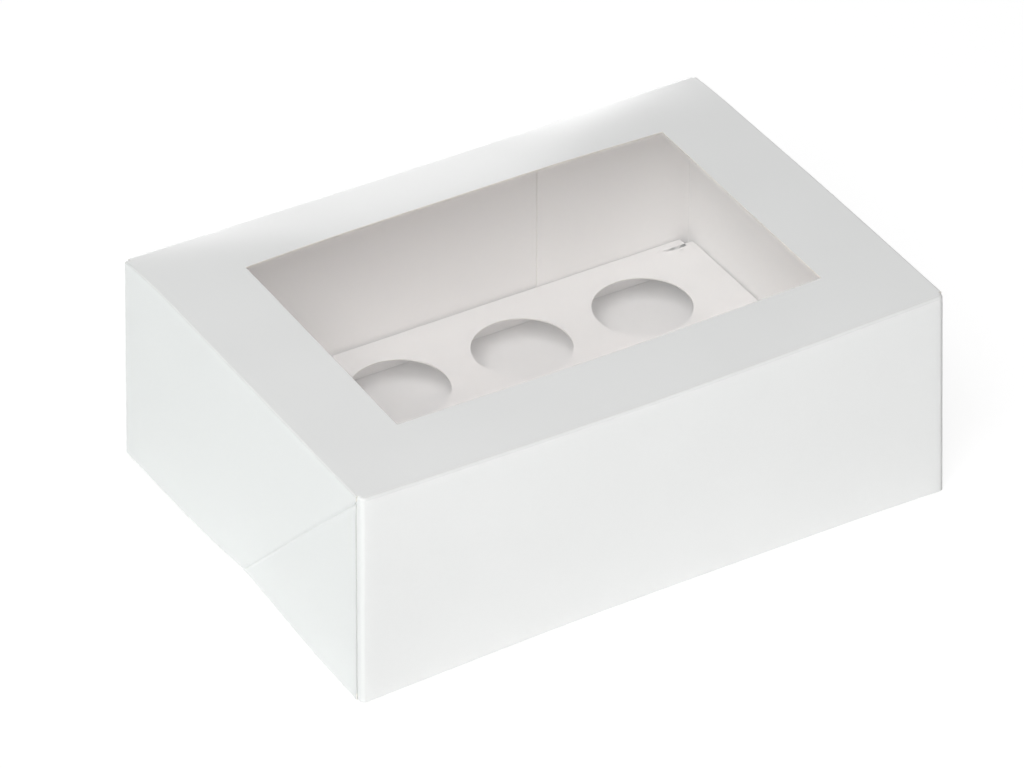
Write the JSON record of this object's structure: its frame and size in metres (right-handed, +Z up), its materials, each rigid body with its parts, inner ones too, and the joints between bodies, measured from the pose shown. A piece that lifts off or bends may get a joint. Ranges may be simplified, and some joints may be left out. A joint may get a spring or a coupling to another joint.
{
  "type": "cupcake box",
  "caption": "Low white card bakery box with a hinged lid, a clear window in the lid and a loose insert with round cup holes.",
  "frame": {"origin": "on the ground under the middle of the closed box", "axes": "+X along the box, +Y from the front to the lid's hinge at the back, +Z up"},
  "size_m": [0.24, 0.17, 0.0865],
  "materials": {
    "tray_card": "smooth white coated card",
    "lid_card": "smooth white coated card, low sheen",
    "clear_film": "clear glossy film",
    "insert_card": "smooth white card"
  },
  "bodies": {
    "base": {"base_tray": "tray_card", "cup_insert": "insert_card"},
    "lid": {"lid": "lid_card", "window_film": "clear_film"}
  },
  "joints": [
    {"name": "lid_hinge", "type": "hinge", "parent": "base", "child": "lid", "pos_m": [0, 0.08475, 0.08625], "axis": [-1, 0, 0], "range_deg": [0, 210]}
  ]
}
